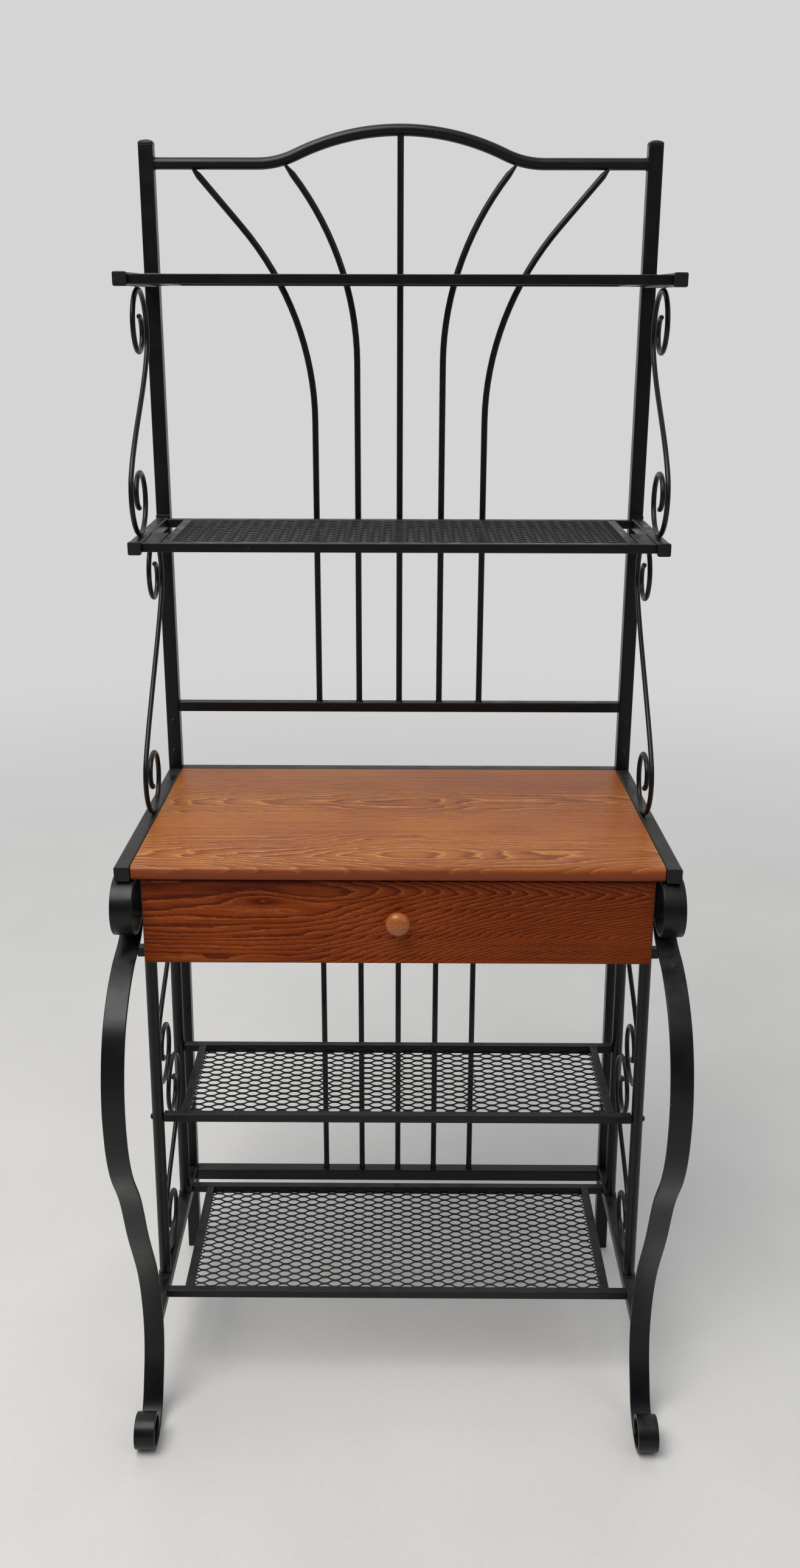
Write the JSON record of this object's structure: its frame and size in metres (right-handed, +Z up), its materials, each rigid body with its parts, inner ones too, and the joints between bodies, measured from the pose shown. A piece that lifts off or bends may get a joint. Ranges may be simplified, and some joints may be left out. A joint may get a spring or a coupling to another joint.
{
  "type": "bakers rack",
  "caption": "Steel bakers rack with scrolled sides, open net shelves, a wooden worktop, a drawer that slides out, and bowed front legs.",
  "frame": {"origin": "on the floor, under the middle of the rack", "axes": "+Z up, the front with the drawer faces -Y, +X to the right when looking from the front"},
  "size_m": [0.741, 0.5244, 1.7912],
  "materials": {
    "steel": "satin black powder coat",
    "net": "satin black powder coat",
    "cap": "black plastic",
    "oak": "stained and varnished oak",
    "red_oak": "darker stained and varnished oak",
    "plywood": "plain plywood",
    "zinc": "zinc plated sheet steel"
  },
  "bodies": {
    "frame": {"arch_rail": "steel", "back_cross_rail": "steel", "back_rod_inner_left": "steel", "back_rod_inner_right": "steel", "back_rod_middle": "steel", "back_rod_outer_left": "steel", "back_rod_outer_right": "steel", "bottom_shelf_frame": "steel", "bottom_shelf_net": "net", "bottom_side_rail_left": "steel", "bottom_side_rail_right": "steel", "drawer_runner_left": "zinc", "drawer_runner_right": "zinc", "front_cross_rail": "steel", "front_leg_left": "steel", "front_leg_right": "steel", "front_post_left": "steel", "front_post_right": "steel", "lower_back_grille": "steel", "lower_shelf_frame": "steel", "lower_shelf_net": "net", "lower_upright_left": "steel", "lower_upright_right": "steel", "mid_scroll_left": "steel", "mid_scroll_right": "steel", "mid_shelf_cap_left": "cap", "mid_shelf_cap_right": "cap", "mid_shelf_frame": "steel", "mid_shelf_net": "net", "mid_shelf_rail_left": "steel", "mid_shelf_rail_right": "steel", "rear_post_left": "steel", "rear_post_right": "steel", "side_scroll_lower_left": "steel", "side_scroll_lower_right": "steel", "side_scroll_upper_left": "steel", "side_scroll_upper_right": "steel", "top_scroll_left": "steel", "top_scroll_right": "steel", "top_shelf_cap_left": "cap", "top_shelf_cap_right": "cap", "top_shelf_frame": "steel", "top_shelf_net": "net", "top_shelf_rail_left": "steel", "top_shelf_rail_right": "steel", "upper_upright_left": "steel", "upper_upright_right": "steel", "upright_cap_left": "cap", "upright_cap_right": "cap", "worktop_board": "oak", "worktop_rear_rail": "steel", "worktop_side_rail_left": "steel", "worktop_side_rail_right": "steel"},
    "drawer": {"drawer_front": "red_oak", "drawer_back": "plywood", "drawer_bottom": "plywood", "drawer_knob": "oak", "drawer_side_left": "plywood", "drawer_side_right": "plywood"}
  },
  "joints": [
    {"name": "drawer_slide", "type": "slide", "parent": "frame", "child": "drawer", "axis": [0, -1, 0], "range_m": [0, 0.25]}
  ]
}
